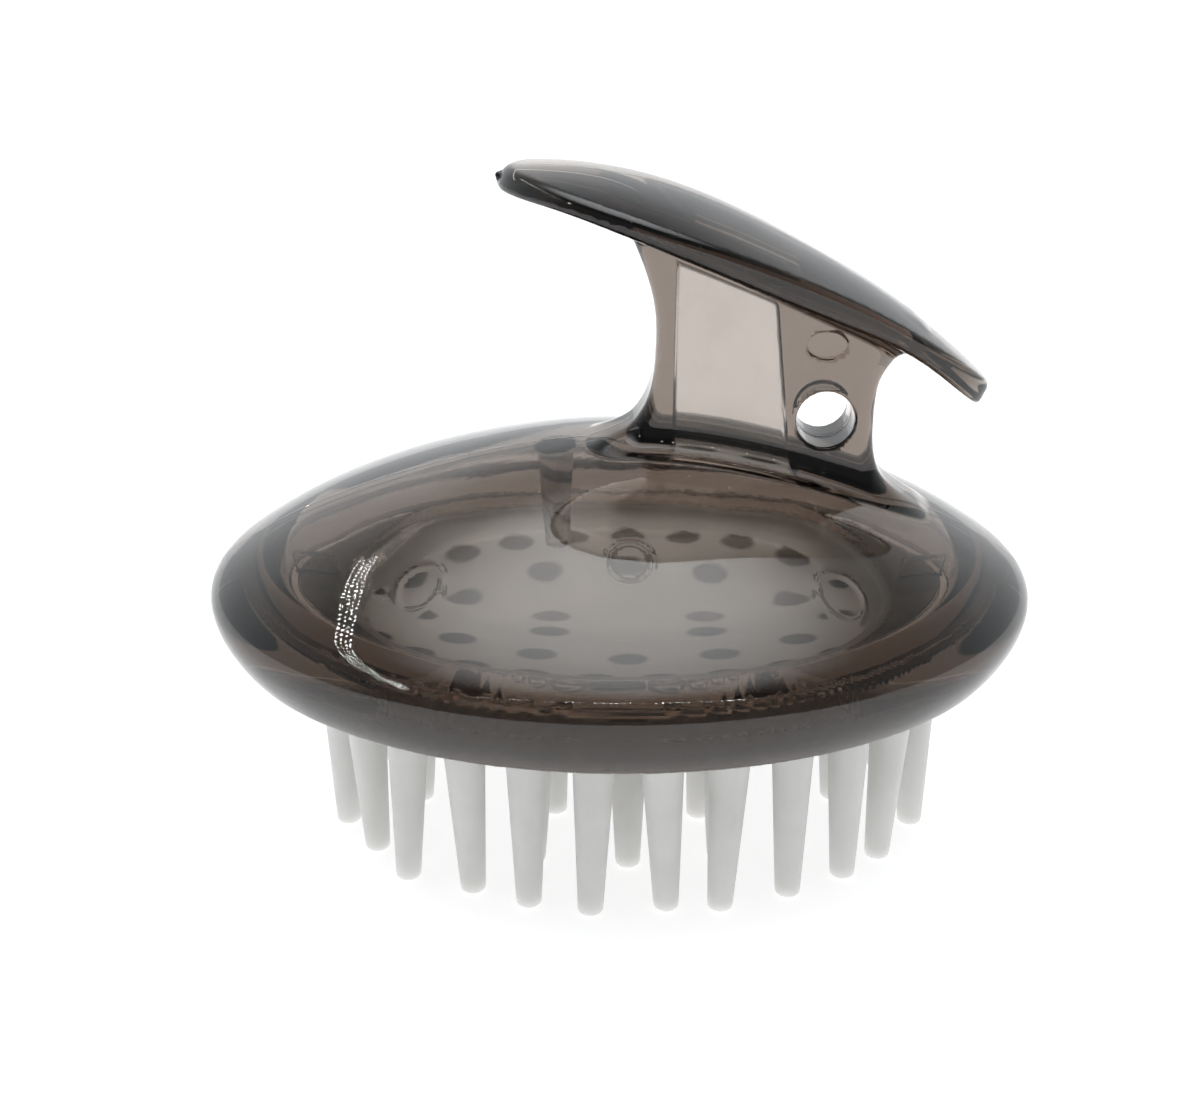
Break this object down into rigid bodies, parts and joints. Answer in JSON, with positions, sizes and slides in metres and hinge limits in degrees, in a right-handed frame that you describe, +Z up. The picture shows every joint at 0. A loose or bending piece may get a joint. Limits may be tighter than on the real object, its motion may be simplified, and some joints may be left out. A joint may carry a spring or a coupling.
{
  "type": "scalp massager brush",
  "caption": "Hand-held scalp massager: transparent oval dome shell with stem, leaf-shaped finger paddle and hanging hole over a soft pad of tapered bristles.",
  "frame": {"origin": "middle of the oval shell, on the plane of the bristle tips", "axes": "+Z up from the bristle tips towards the finger paddle; X along the long axis of the oval, +X towards the hanging hole and the low end of the paddle; Y across the oval"},
  "size_m": [0.1, 0.0776, 0.0827],
  "materials": {
    "smoky_clear_plastic": "polished transparent smoky grey-brown",
    "smoky_clear_plastic_frame": "transparent smoky grey-brown",
    "frosted_silicone": "frosted translucent white silicone"
  },
  "bodies": {
    "root": {"handle_shell": "smoky_clear_plastic", "carrier_frame": "smoky_clear_plastic_frame", "bristle_pad": "frosted_silicone"}
  },
  "joints": []
}
